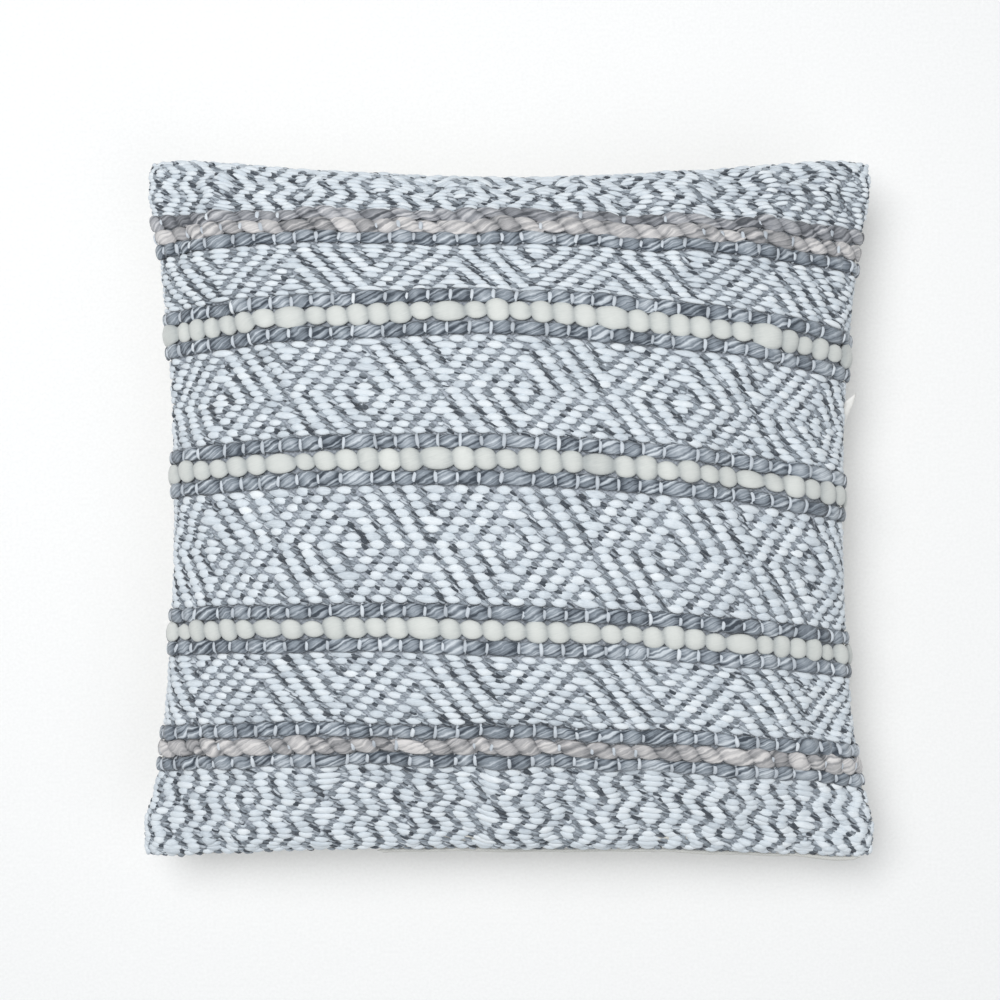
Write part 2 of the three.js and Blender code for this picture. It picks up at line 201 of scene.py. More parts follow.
def sweep(path, up, half_width, half_height, sides):
    """Tubes through paths of shape (tubes, stations, 3), with elliptical sections. Half_width and
    half_height are (tubes, stations) or (tubes, stations, sides). Returns points and faces."""
    count, stations, _ = path.shape
    along = unit(np.gradient(path, axis=1))
    across = unit(np.cross(up, along))
    rise = np.cross(along, across)
    turn = np.arange(sides) / sides * 2 * np.pi
    wide = np.broadcast_to(np.atleast_3d(half_width), (count, stations, sides)) * np.cos(turn)
    high = np.broadcast_to(np.atleast_3d(half_height), (count, stations, sides)) * np.sin(turn)
    rings = path[:, :, None] + wide[..., None] * across[:, :, None] + high[..., None] * rise[:, :, None]
    ends = np.stack([rings[:, 0].mean(1), rings[:, -1].mean(1)], 1)
    points = np.concatenate([rings.reshape(count, -1, 3), ends], 1)
    offset = np.arange(count)[:, None, None] * points.shape[1]
    faces = [(f[None] + offset).reshape(-1, f.shape[1]) for f in tube_faces(stations, sides)]
    return points.reshape(-1, 3), faces


def per_point(values, stations, sides):
    """Spreads one value a tube, or one a station of each tube, or one a ring point, over its points."""
    values = np.asarray(values, float)
    if values.ndim == 1:
        values = np.repeat(values[:, None], stations, 1)
    if values.ndim == 2:
        values = np.repeat(values[:, :, None], sides, 2)
    ends = np.stack([values[:, 0].mean(1), values[:, -1].mean(1)], 1)
    return np.concatenate([values.reshape(len(values), -1), ends], 1).ravel()


# ---- the cover's surface, blown up by a cloth simulation ----

SIM_CELLS = 68
SIM_START = 0.965  # the simulation starts from a smaller cushion, which the pressure then fills
SIM_FRAMES = 20
SIM_CLOTH = {
    "quality": 5, "mass": 0.3, "bending_stiffness": 0.6, "tension_stiffness": 25,
    "compression_stiffness": 25, "use_pressure": True, "uniform_pressure_force": 4,
}
SEAM_SHRINK = 0.07  # how much the sewn edge draws the cloth in, which puckers it
SIM_CAP = 3 * MM  # how far the simulation may move the cloth in or out of its CAD place
SIM_EDGE = 0.07  # the share of the cloth beside each seam where that movement dies away
BROAD_TERMS = [6, 6]  # the broad change of shape, which is left out, so that only puckers stay
LATTICE = 384
LATTICE_EVENNESS = 0.45  # 1 for even steps, less for closer steps near the seams
TABLE_STEPS, ARC_STEPS = 2001, 1001
FLOOR_GAP = 0.2 * MM  # the cloth rests this far above the floor, and no lower


def grade(s):
    """Closer steps near the seams, where the cushion is steep."""
    return LATTICE_EVENNESS * s + (1 - LATTICE_EVENNESS) * np.sin(np.pi / 2 * s)


def lattice(cells):
    s = np.linspace(-1, 1, cells + 1)
    return np.meshgrid(grade(s), grade(s), indexing="ij")


def cubic_steps(coarse, fine):
    """The matrix that takes values at coarse + 1 even steps to fine + 1 steps, by a cubic."""
    x = np.linspace(0, coarse, fine + 1)
    first = np.minimum(np.floor(x), coarse - 1).astype(int)
    f = x - first
    weights = [
        -0.5 * f + f**2 - 0.5 * f**3,
        1 - 2.5 * f**2 + 1.5 * f**3,
        0.5 * f + 2 * f**2 - 1.5 * f**3,
        -0.5 * f**2 + 0.5 * f**3,
    ]
    made = np.zeros((fine + 1, coarse + 1))
    for k, weight in enumerate(weights):
        np.add.at(made, (np.arange(fine + 1), np.clip(first + k - 1, 0, coarse)), weight)
    return made


def closed_skin(u, t, depth):
    """Points and faces of the whole cushion's surface at a depth, front and back joined at the seam."""
    size = len(u)
    front_index = np.arange(size * size).reshape(size, size)
    back_index = np.full((size, size), -1)
    rim = np.ones((size, size), bool)
    rim[1:-1, 1:-1] = False
    back_index[rim] = front_index[rim]
    back_index[~rim] = size * size + np.arange((~rim).sum())
    front, back = place(u, t, FRONT, depth), place(u, t, BACK, depth)
    front[rim] = (front[rim] + back[rim]) / 2
    points = np.concatenate([front.reshape(-1, 3), back[~rim]])
    faces = grid_faces(size, size)
    return points, [faces, back_index.ravel()[faces][:, ::-1]], front_index, back_index


def broad_part(u, t, away):
    """The smooth, large-scale part of a movement of the whole cloth."""
    terms = np.polynomial.chebyshev.chebvander2d(u.ravel(), t.ravel(), BROAD_TERMS)
    shares = np.linalg.lstsq(terms, away.reshape(-1, 3), rcond=None)[0]
    return (terms @ shares).reshape(away.shape)


def blown_up(points, faces, sewn):
    """Where a cloth simulation takes the points of a closed skin, some of which are sewn."""
    balloon = mesh_object("blown_cover", swollen(points, SIM_START), faces)
    seam = balloon.vertex_groups.new(name="seam")
    seam.add([int(i) for i in sewn], 1.0, "REPLACE")
    cloth = balloon.modifiers.new("cloth", "CLOTH")
    cloth.collision_settings.use_collision = False
    settings = cloth.settings
    for name, value in SIM_CLOTH.items():
        setattr(settings, name, value)
    settings.effector_weights.gravity = 0
    settings.vertex_group_shrink = "seam"
    settings.shrink_min, settings.shrink_max = 0.0, SEAM_SHRINK
    scene = bpy.context.scene
    for number in range(1, SIM_FRAMES + 1):
        scene.frame_set(number)
    blown = balloon.evaluated_get(bpy.context.evaluated_depsgraph_get())
    after = np.zeros(len(points) * 3)
    blown.data.vertices.foreach_get("co", after)
    scene.frame_set(1)
    bpy.data.objects.remove(balloon)
    return after.reshape(-1, 3)


def simulated_offsets():
    """How far the cloth simulation moves the cloth, for the front and the back, on the coarse lattice."""
    u, t = lattice(SIM_CELLS)
    points, faces, front_index, back_index = closed_skin(u, t, 0)
    after = blown_up(points, faces, front_index[front_index == back_index])
    fade = smooth(np.minimum(1 - np.abs(u), 1 - np.abs(t)) / SIM_EDGE)[..., None]
    moved = {}
    for side, index in ((FRONT, front_index), (BACK, back_index)):
        rest = place(u, t, side)
        outward = normals_of(rest, side)
        away = after[index] - rest
        away = ((away - broad_part(u, t, away)) * outward).sum(-1, keepdims=True)
        moved[side] = outward * np.clip(away * fade, -SIM_CAP, SIM_CAP)
    return moved


def normals_of(points, side):
    """Outward directions of a grid of points on one side of the cushion."""
    return unit(np.cross(np.gradient(points, axis=0), np.gradient(points, axis=1)) * side)


class Cover:
    """The cloth's outer surface and its outward directions, looked up by u and t."""

    def __init__(self, side, offsets, depth=0.0):
        u, t = lattice(LATTICE)
        self.points = place(u, t, side, depth)
        if offsets is not None:
            steps = cubic_steps(SIM_CELLS, LATTICE)
            self.points += np.einsum("ai,ijk,bj->abk", steps, offsets, steps)
        self.points[..., 2] = np.maximum(self.points[..., 2], FLOOR_GAP)
        self.normals = normals_of(self.points, side)

    def at(self, u, t, lift=0.0):
        """Points lifted off the cloth, and the cloth's outward directions there."""
        table = np.linspace(-1, 1, TABLE_STEPS)
        x, y = (
            (np.interp(np.clip(w, -1, 1), grade(table), table) + 1) / 2 * LATTICE
            for w in np.broadcast_arrays(u, t)
        )
        i, j = (np.minimum(w.astype(int), LATTICE - 1) for w in (x, y))
        f, g = (x - i)[..., None], (y - j)[..., None]

        def blend(field):
            low = field[i, j] * (1 - f) + field[i + 1, j] * f
            high = field[i, j + 1] * (1 - f) + field[i + 1, j + 1] * f
            return low * (1 - g) + high * g

        normals = unit(blend(self.normals))
        return blend(self.points) + normals * np.asarray(lift)[..., None], normals


offsets = simulated_offsets()
face, rear = Cover(FRONT, offsets[FRONT]), Cover(BACK, offsets[BACK])


def arc_table(across):
    """Lengths along the blown cloth through its middle, and u or t at each."""
    share = np.sin(np.linspace(-np.pi / 2, np.pi / 2, ARC_STEPS))
    middle = np.zeros(ARC_STEPS)
    line = place(share, middle, FRONT) if across else place(middle, share, FRONT)
    return lengths_along(line), share


ARC_X, ARC_U = arc_table(True)
ARC_Y, ARC_T = arc_table(False)
POINT_ARC = np.interp(FIRST_POINT, ARC_U, ARC_X)


def end_at(end, t):
    """u of a warp end, numbered from the point column that crosses the middle, at t up the cloth."""
    return np.interp(POINT_ARC + end * END_PITCH + WARP_LEAN * CORNER_Y * t, ARC_X, ARC_U)


def ends_across():
    """The numbers of the first and last warp end."""
    first = math.ceil(-POINT_ARC / END_PITCH) - SPARE_ENDS
    last = math.floor((ARC_X[-1] - POINT_ARC) / END_PITCH) + SPARE_ENDS
    return first, last


def shaft_of(end):
    """The shaft that an end is threaded on, in a point threading."""
    repeat = end % REPEAT
    return min(repeat, REPEAT - repeat) % SHAFTS


def tied_ends(shaft):
    first, last = ends_across()
    return np.array([e for e in range(first, last + 1) if shaft_of(e) == shaft])


def stripe_bounds(index):
    """Distances down the cloth of a stripe's top, of its core's two sides and of its foot."""
    half = CORES[STRIPE_CORES[index]][0] / 2
    steps = (-half - OUTER_WIDTH, -half, half, half + OUTER_WIDTH)
    return [STRIPE_MIDDLES[index] + step for step in steps]


def bands():
    """t of every white row of each band, evenly spaced along the blown cloth."""
    edges = [0.0]
    for index in range(len(STRIPE_MIDDLES)):
        bounds = stripe_bounds(index)
        edges += [bounds[0], bounds[-1]]
    edges.append(CLOTH_HEIGHT - HEM)
    rows = {}
    for k, (name, draft) in enumerate(DRAFT.items()):
        start, stop = (np.interp(down(edges[2 * k + i]), ARC_T, ARC_Y) for i in (0, 1))
        steps = (np.arange(len(draft)) + 0.5) / len(draft)
        rows[name] = np.interp(start + (stop - start) * steps, ARC_Y, ARC_T)
    return rows


# ---- materials ----


def linear(red, green, blue):
    """A colour given as 0 to 255 in sRGB, as the shaders want it."""
    parts = [c / 255 for c in (red, green, blue)]
    return [c / 12.92 if c <= 0.04045 else ((c + 0.055) / 1.055) ** 2.4 for c in parts] + [1]


def preset(node, **values):
    """Sets numbers on a node's inputs, whose names have _ here in place of a space."""
    for name, value in values.items():
        node.inputs[name.replace("_", " ")].default_value = value


class Finish:
    """A material with a Principled shader, and short ways to add nodes to it."""

    def __init__(self, name, roughness=0.9, metallic=0.0, sheen=0.0):
        self.material = bpy.data.materials.new(name)
        self.material.use_nodes = True
        self.tree = self.material.node_tree
        self.shader = self.tree.nodes["Principled BSDF"]
        preset(self.shader, Roughness=roughness, Metallic=metallic)
        preset(self.shader, Sheen_Weight=sheen, Sheen_Roughness=0.5)

    def node(self, kind, **values):
        made = self.tree.nodes.new(kind)
        for key, value in values.items():
            setattr(made, key, value)
        return made

    def link(self, start, end):
        self.tree.links.new(start, end)

    def field(self, name):
        return self.node("ShaderNodeAttribute", attribute_name=name).outputs["Fac"]

    def position(self):
        return self.node("ShaderNodeTexCoord").outputs["Object"]

    def feed(self, node, *values):
        """Gives a node's inputs, in order, numbers or other nodes' outputs. Returns its output."""
        for socket, value in zip(node.inputs, values):
            if isinstance(value, (int, float)):
                socket.default_value = value
            else:
                self.link(value, socket)
        return node.outputs[0]

    def math(self, operation, *values):
        return self.feed(self.node("ShaderNodeMath", operation=operation), *values)

    def vector(self, *values):
        return self.feed(self.node("ShaderNodeCombineXYZ"), *values)

    def axes(self):
        """Positions along x, y and z, under those names in capitals."""
        split = self.node("ShaderNodeSeparateXYZ")
        self.link(self.position(), split.inputs[0])
        return split.outputs

    def sway(self, base, value, share):
        """A value's swing either side of a half, times a share, added to a base."""
        return self.math("MULTIPLY_ADD", self.math("SUBTRACT", value, 0.5), share, base)

    def grain(self, scale, detail=3.0):
        """Noise through the piece's own space."""
        return self.noise(self.position(), scale, detail)

    def noise(self, where, scale, detail=3.0, distortion=0.0):
        made = self.node("ShaderNodeTexNoise")
        self.link(where, made.inputs["Vector"])
        preset(made, Scale=scale, Detail=detail, Distortion=distortion)
        return made.outputs["Fac"]

    def ramp(self, value, *stops):
        made = self.node("ShaderNodeValToRGB")
        self.link(value, made.inputs["Fac"])
        elements = made.color_ramp.elements
        while len(elements) < len(stops):
            elements.new(0.5)
        for element, (position, colour) in zip(elements, stops):
            element.position = position
            element.color = linear(*colour)
        return made.outputs["Color"]

    def colour(self, output):
        self.link(output, self.shader.inputs["Base Color"])

    def bump(self, height, distance, strength=1.0):
        made = self.node("ShaderNodeBump")
        preset(made, Distance=distance, Strength=strength)
        self.link(height, made.inputs["Height"])
        self.link(made.outputs["Normal"], self.shader.inputs["Normal"])


FIBRES_ALONG, FIBRES_AROUND = 160.0, 9.0  # how fine a yarn's fibres are, a metre and a turn
SHADE_CHANGE = 1.1  # how often the shade changes from one strand to the next


def yarn_finish(name, dark, middle, light, fibre=0.5, depth=0.25 * MM, strands=0.0):
    """Spun yarn: fibres that run along it, in a tone that each yarn point carries. Where strands is
    over 0, each of its twisted strands also has a tone of its own, that far from the yarn's."""
    made = Finish(name, 0.92, sheen=0.25)
    along, around, tone = made.field("along"), made.field("around"), made.field("tone")
    if strands:
        waver = made.math("SUBTRACT", made.grain(160.0, 2.0), 0.5)
        number = made.math("MULTIPLY_ADD", waver, 1.3, made.field("strand"))
        shade = made.node("ShaderNodeTexNoise", noise_dimensions="1D")
        made.link(number, shade.inputs["W"])
        preset(shade, Scale=SHADE_CHANGE, Detail=1.5)
        tone = made.sway(tone, shade.outputs["Fac"], strands)
    length = made.math("MULTIPLY", along, FIBRES_ALONG)
    run = made.vector(length, made.math("MULTIPLY", around, FIBRES_AROUND), tone)
    fibres = made.noise(run, 1.6, 4.0, 0.4)
    clumps = made.grain(260.0, 2.0)
    mixed = made.sway(made.sway(tone, fibres, fibre), clumps, fibre * 0.6)
    made.colour(made.ramp(mixed, (0.0, dark), (0.5, middle), (1.0, light)))
    made.bump(fibres, depth, 0.6)
    return made.material


def plain_weave_finish(name, dark, light, threads, depth):
    """A plain cloth of so many crossed threads a metre, with slubs and a little unevenness of colour."""
    made = Finish(name, 0.93, sheen=0.2)
    across, up = made.field("cloth_x"), made.field("cloth_y")
    waver = made.math("MULTIPLY", made.grain(30.0), 2.0)
    x = made.math("MULTIPLY_ADD", across, threads, waver)
    y = made.math("MULTIPLY_ADD", up, threads, waver)
    weft = made.math("SINE", made.math("MULTIPLY", y, math.tau))
    warp = made.math("SINE", made.math("MULTIPLY", x, math.tau))
    over = made.math("MULTIPLY_ADD", made.math("MULTIPLY", weft, warp), 0.5, 0.5)
    slub = made.noise(made.vector(made.math("MULTIPLY", x, 0.04), y), 0.6, 3.0)
    patch = made.grain(18.0, 3.0)
    mixed = made.math("MULTIPLY_ADD", over, 0.35, made.math("MULTIPLY", slub, 0.6))
    mixed = made.math("MULTIPLY_ADD", patch, 0.25, mixed)
    made.colour(made.ramp(mixed, (0.2, dark), (0.85, light)))
    made.bump(made.math("ADD", over, made.math("MULTIPLY", slub, 0.8)), depth)
    return made.material


def metal_finish():
    """Plated zinc: brushed, a little dull and rubbed lighter in patches."""
    made = Finish("zip_plating", 0.32, metallic=1.0)
    rubbed = made.grain(420.0, 4.0)
    made.colour(made.ramp(rubbed, (0.35, (148, 149, 150)), (0.7, (196, 197, 198))))
    spread = made.node("ShaderNodeMapRange")
    preset(spread, To_Min=0.24, To_Max=0.5)
    made.link(rubbed, spread.inputs["Value"])
    made.link(spread.outputs["Result"], made.shader.inputs["Roughness"])
    made.bump(made.grain(1500.0, 2.0), 0.02 * MM)
    return made.material


TAPE_RIB, TAPE_THREAD, SATIN_FLOAT = 0.9 * MM, 0.7 * MM, 0.5 * MM


def tape_finish():
    """Woven zip tape: fine ribs along the tape with a herringbone of crossing threads."""
    made = Finish("zip_tape_cloth", 0.88, sheen=0.15)
    axes = made.axes()
    ribs = made.math("SINE", made.math("MULTIPLY", axes["Z"], math.tau / TAPE_RIB))
    slant = made.math("MULTIPLY_ADD", ribs, 0.25 * MM, axes["X"])
    threads = made.math("SINE", made.math("MULTIPLY", slant, math.tau / TAPE_THREAD))
    height = made.math("MULTIPLY_ADD", threads, 0.3, made.math("MULTIPLY_ADD", ribs, 0.2, 0.5))
    made.colour(made.ramp(height, (0.1, (206, 203, 194)), (0.9, (232, 230, 223))))
    made.bump(height, 0.15 * MM)
    return made.material


def coil_finish():
    """Extruded polyester monofilament."""
    made = Finish("zip_coil_nylon", 0.38)
    grain = made.grain(900.0, 3.0)
    made.colour(made.ramp(grain, (0.3, (196, 194, 186)), (0.8, (228, 226, 220))))
    made.bump(grain, 0.02 * MM)
    preset(made.shader, Coat_Weight=0.2)
    return made.material


def satin_finish():
    """Label satin: long floats along its length, which shine across them."""
    made = Finish("label_satin", 0.42, sheen=0.1)
    floats = made.math("SINE", made.math("MULTIPLY", made.axes()["Y"], math.tau / SATIN_FLOAT))
    wear = made.grain(300.0, 3.0)
    height = made.math("MULTIPLY_ADD", floats, 0.15, wear)
    made.colour(made.ramp(height, (0.2, (226, 225, 221)), (0.8, (246, 245, 242))))
    made.bump(height, 0.06 * MM)
    return made.material


WHITE_YARN = yarn_finish("white_weft", (180, 189, 198), (216, 224, 231), (238, 243, 247), fibre=0.85)
GREY_YARN = yarn_finish("grey_marl_weft", (62, 69, 78), (150, 159, 168), (214, 221, 228), fibre=0.8)
ROVING_GREY = yarn_finish(
    "roving_grey_marl", (60, 68, 78), (140, 149, 159), (208, 215, 222),
    fibre=0.6, strands=1.7,
)
ROVING_IVORY = yarn_finish("roving_ivory", (172, 177, 177), (209, 212, 209), (230, 232, 228), fibre=0.4)
ROVING_TAUPE = yarn_finish(
    "roving_taupe", (92, 94, 98), (168, 167, 169), (222, 219, 218),
    fibre=0.6, strands=1.3,
)
ROVING_MIXED = yarn_finish(
    "roving_mixed", (78, 81, 87), (148, 150, 156), (208, 208, 211),
    fibre=0.6, strands=1.5,
)
TIE_YARN = yarn_finish("white_warp", (180, 187, 195), (208, 215, 223), (230, 235, 240), fibre=0.3)
# The ground cloth's greys are partly its own grey marl and partly painted shade: it is kept dark so that
# the gaps between the white floats and grey strands read deep.
GROUND = plain_weave_finish("ground_weave", (112, 120, 130), (182, 189, 198), 330.0, 0.4 * MM)
CANVAS = plain_weave_finish("back_canvas", (196, 193, 184), (229, 226, 218), 700.0, 0.25 * MM)
EDGE_CLOTH = plain_weave_finish("turned_edge", (186, 186, 182), (216, 216, 212), 500.0, 0.2 * MM)
SHELL_COTTON = plain_weave_finish("insert_cotton", (222, 221, 216), (243, 242, 238), 1100.0, 0.12 * MM)
THREAD = yarn_finish("sewing_thread", (200, 198, 190), (228, 226, 219), (240, 239, 234), depth=0.05 * MM)
FIBRE = yarn_finish("fill_fibre", (214, 216, 216), (236, 237, 236), (250, 250, 249), fibre=0.8)


def dress(piece, material, slot, *nodes, body="cushion"):
    """Gives a new piece its material and its body, and hides the CAD nodes that it stands for. Its slot is
    not used.
    """
    piece.data.materials.append(material)
    if nodes:
        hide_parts(*nodes)
    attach(piece, body)
    return piece


def yarn_piece(name, lines, shape, material, slot, *nodes, **fields):
    """A piece of tubes swept along lines, with each field's values for a tube, station or ring point."""
    points, faces = sweep(*lines, shape[1])
    spread = {field: per_point(values, *shape) for field, values in fields.items()}
    return dress(mesh_object(name, points, faces, **spread), material, slot, *nodes)


def ring_turns(count, stations, sides):
    """How far round its tube each ring point lies, in turns."""
    return np.broadcast_to(np.arange(sides) / sides, (count, stations, sides))


# ---- the cover's two panels ----

PANEL_CELLS = 200
PANEL_THICK = 2.4 * MM
GROUND_DEPTH = 0.9 * MM  # how far the ground cloth lies under the face's outer surface


def slab(name, cover, depth, thick, cells, side):
    """A closed sheet that follows the cover: an outer and an inner skin, joined at the rim."""
    u, t = lattice(cells)
    skins = [cover.at(u, t, -depth)[0], cover.at(u, t, -depth - thick)[0]]
    points = np.concatenate([skin.reshape(-1, 3) for skin in skins])
    size = cells + 1
    half = size * size
    index = np.arange(half).reshape(size, size)
    ring = np.concatenate([index[:-1, 0], index[-1, :-1], index[:0:-1, -1], index[0, :0:-1]])
    onward = np.roll(ring, -1)
    rim = np.stack([ring, ring + half, onward + half, onward], -1)
    outer, inner = grid_faces(size, size), grid_faces(size, size, True) + half
    faces = [outer, inner, rim]
    if side == BACK:
        faces = [f[:, ::-1] for f in faces]
    x = np.concatenate([np.interp(u.ravel(), ARC_U, ARC_X)] * 2)
    y = np.concatenate([np.interp(t.ravel(), ARC_T, ARC_Y)] * 2)
    return mesh_object(name, points, faces, cloth_x=x, cloth_y=y)


def cover_panels():
    ground = slab("front_cover", face, GROUND_DEPTH, PANEL_THICK, PANEL_CELLS, FRONT)
    dress(ground, GROUND, "handwoven_face", "front_panel")
    back = slab("back_cover", rear, 0, PANEL_THICK, PANEL_CELLS, BACK)
    dress(back, CANVAS, "cotton_back", "back_panel")


# ---- the woven face: white weft floats, and grey marl that shows where the white dips ----

FLOAT_SIDES, FLOAT_STATIONS = 8, 9
FLOAT_HIDDEN = 0.62  # warp ends of each float's span that its two dips take
FLOAT_TURN = 0.10  # how far a float turns down to the right, across its own length
FLOAT_FILL, ROW_MOST = 0.59, 5 * MM  # half its width as a share of its row, and the widest row
FLOAT_HEIGHT = 1.3 * MM
FLOAT_SINK = 0.75  # millimetres that a yarn's ends lie below the cloth's outer surface
FULL_FLOAT, BOW_MOST = 1.55, 1.15  # half the ends that it spans when it bows fully, and its limit
SHORT_FLOAT = 0.9  # one that spans less than this, as half its ends, is thin and dark
SEAM_LEAST = 0.0006  # how near the side seams a yarn may start, as a share of half the width
STRAND_SIDES, STRAND_STATIONS = 5, 6
STRANDS = 3  # grey strands at each dip of the white weft
STRAND_GAP = 0.30  # warp ends from one strand to the next
STRAND_START = 0.62  # how near its own row a strand's middle lies, not the next
STRAND_TONES, STRAND_SHARES = [0.0, 0.36, 0.6, 0.85], [0.27, 0.32, 0.3, 0.11]


def floats_of(rows, draft):
    """For each white float: its first and last hidden end, and t of its row."""
    made = []
    for t, shaft in zip(rows, draft):
        ends = tied_ends(shaft)
        made += [(a, b, t) for a, b in zip(ends[:-1], ends[1:])]
    return np.array(made, float)


def within_cloth(start, stop, t, least):
    """Which of the spans of warp ends lie on the cloth, at least in part."""
    u0, u1 = end_at(start, t), end_at(stop, t)
    return (u0 < 1 - least) & (u1 > -1 + least)


def white_floats(name, rows, draft):
    spans = floats_of(rows, draft)
    start, stop, t = spans.T
    keep = within_cloth(start + 1, stop - 1, t, SEAM_LEAST)
    start, stop, t = start[keep], stop[keep], t[keep]
    count = len(t)
    rng = seed_of(name)
    s = np.linspace(-1, 1, FLOAT_STATIONS)[None]
    half = (stop - start - FLOAT_HIDDEN)[:, None] / 2 * rng.uniform(0.94, 1.05, (count, 1))
    middle = ((start + stop) / 2 + rng.uniform(-0.12, 0.12, count))[:, None]
    turn = (FLOAT_TURN + rng.normal(0, 0.035, count))[:, None] * half * END_PITCH / CORNER_Y
    rise = rng.uniform(0.85, 1.15, (count, 1))
    t_line = t[:, None] - turn * s
    u_line = end_at(middle + half * s, t_line)
    bow = rise * (1 - s * s) * np.minimum(half / FULL_FLOAT, BOW_MOST)
    path, up = face.at(u_line, t_line, (bow - FLOAT_SINK) * MM)
    share = (1 - np.abs(s) ** 2) ** 0.8
    short = half < SHORT_FLOAT
    body = np.where(short, 0.62, 1.0) * rng.uniform(0.88, 1.12, (count, 1))
    local = row_width(t_line, rows)
    wide = FLOAT_FILL * np.minimum(local, ROW_MOST) * body * np.maximum(share, 0.04)
    high = FLOAT_HEIGHT * body * np.maximum(share, 0.05)
    shape = (FLOAT_STATIONS, FLOAT_SIDES)
    return yarn_piece(
        name, (path, up, wide, high), shape, WHITE_YARN, "handwoven_face",
        tone=np.clip(rng.normal(0.55, 0.13, count) - np.where(short[:, 0], 0.25, 0), 0, 1),
        along=(middle + half * s) * END_PITCH + t[:, None] * 3,
        around=ring_turns(count, *shape) * 2,
    )


def row_width(t_line, rows):
    """The distance between rows along the cloth, near each t."""
    arcs = np.sort(np.interp(rows, ARC_T, ARC_Y))
    return np.interp(np.interp(t_line, ARC_T, ARC_Y), arcs, np.gradient(arcs))


def dips_of(rows, draft):
    """Each dip of the white weft: its warp end, the next row's dip nearest it, and t of both rows."""
    next_rows = [*rows[1:], rows[-1] - np.median(-np.diff(rows))]
    dabs = []
    for t, shaft, below, next_shaft in zip(rows, draft, next_rows, [*draft[1:], draft[-1]]):
        next_ends = tied_ends(next_shaft)
        for end in tied_ends(shaft):
            near = next_ends[np.argmin(np.abs(next_ends - end))]
            if abs(near - end) > 2:
                near = end
            dabs.append((end, near, t, below))
    end, near, t, below = np.array(dabs, float).T
    keep = within_cloth(end, end, t, SEAM_LEAST)
    return end[keep], near[keep], t[keep], below[keep]


def grey_strands(name, rows, draft):
    """Grey marl between the white floats: three fine strands from each dip to the next row's."""
    rng = seed_of(name)
    end, near, t, below = dips_of(rows, draft)
    count = len(t)
    spread = (np.arange(STRANDS) - 1)[None] * STRAND_GAP + rng.normal(0, 0.07, (count, STRANDS))
    s = np.linspace(-1, 1, STRAND_STATIONS)[None, None]
    onward_right = (near > end)[:, None, None]
    middle_end = ((end + near) / 2)[:, None, None]
    middle_t = (t * STRAND_START + below * (1 - STRAND_START))[:, None, None]
    reach = rng.uniform(0.8, 1.25, (count, STRANDS, 1)) * 0.85
    fall = (t - below)[:, None, None] * np.where(onward_right, 0.36, 0.3)
    fall = fall * rng.normal(1, 0.3, (count, STRANDS, 1))
    ends = middle_end + reach * s - spread[..., None] * np.where(onward_right, 0.8, -0.3)
    t_line = middle_t - fall * s - spread[..., None] * (t - below)[:, None, None] * 0.75
    wave = rng.normal(0, 0.07, (count, STRANDS, STRAND_STATIONS))
    ends, t_line = ends + wave, np.clip(t_line, -0.9995, 0.9995)
    count *= STRANDS
    ends, t_line = (x.reshape(count, -1) for x in (ends, t_line))
    bow = (1 - s * s).reshape(1, -1)
    tops = rng.uniform(0.1, 0.75, (count, 1))
    path, up = face.at(end_at(ends, t_line), t_line, (-FLOAT_SINK + tops + 0.5 * bow) * MM)
    share = np.maximum(np.sqrt(1 - np.abs(s) ** 2.5), 0.12).reshape(1, -1)
    thick = rng.uniform(0.5, 0.95, (count, 1)) * MM * share
    shape = (STRAND_STATIONS, STRAND_SIDES)
    tone = rng.choice(STRAND_TONES, count, p=STRAND_SHARES) + rng.normal(0, 0.06, count)
    return yarn_piece(
        name, (path, up, thick * 1.15, thick), shape, GREY_YARN, "handwoven_face",
        tone=np.clip(tone, 0, 1),
        along=ends * END_PITCH + t_line,
        around=ring_turns(count, *shape),
    )


def woven_bands():
    for name, rows in bands().items():
        white_floats(f"white_weft_{name}", rows, DRAFT[name])
        grey_strands(f"grey_weft_{name}", rows, DRAFT[name])


# ---- the rovings ----

ROVING_SIDES = 20
UNDERSIDE = 0.75  # where round a roving its strands' numbers start again
ROVING_STEP = 0.75 * MM
ROVING_LIFT = 0.35 * MM
SEAM_SHARE = 0.9992  # how close to the side seams a roving's end lies
ROVING_BODY, ROVING_MIDDLE = 0.62, 0.38  # half its height, and its middle's, as shares of its rise
RIDGE_ROUNDNESS, CREASE_LEVEL = 0.6, 0.6  # a strand's ridge, and where on it the roving's surface is
SWAY, SWAY_SPAN = 0.22, 9  # millimetres that its beads stray, eased over so many stations


def pinch_of(ends, ties):
    """0 at a tie, 1 in the middle of the bead between two ties, and each bead's number."""
    after = np.clip(np.searchsorted(ties, ends), 1, len(ties) - 1)
    low, high = ties[after - 1], ties[after]
    share = np.clip((ends - low) / (high - low), 0, 1)
    return np.sin(np.pi * share), after


def roving_line(rng, u, t, rise, end, ties):
    """The middle line of a roving whose beads stray a little, and its upward directions."""
    sway = rng.normal(0, SWAY, len(ties) + 1)[np.clip(np.searchsorted(ties, end), 0, len(ties))] * MM
    sway = np.convolve(np.pad(sway, SWAY_SPAN // 2, "edge"), np.ones(SWAY_SPAN) / SWAY_SPAN, "valid")
    t_line = np.full((1, len(u)), t) + sway[None] / CORNER_Y
    return face.at(u[None], t_line, ROVING_LIFT + rise * ROVING_MIDDLE)


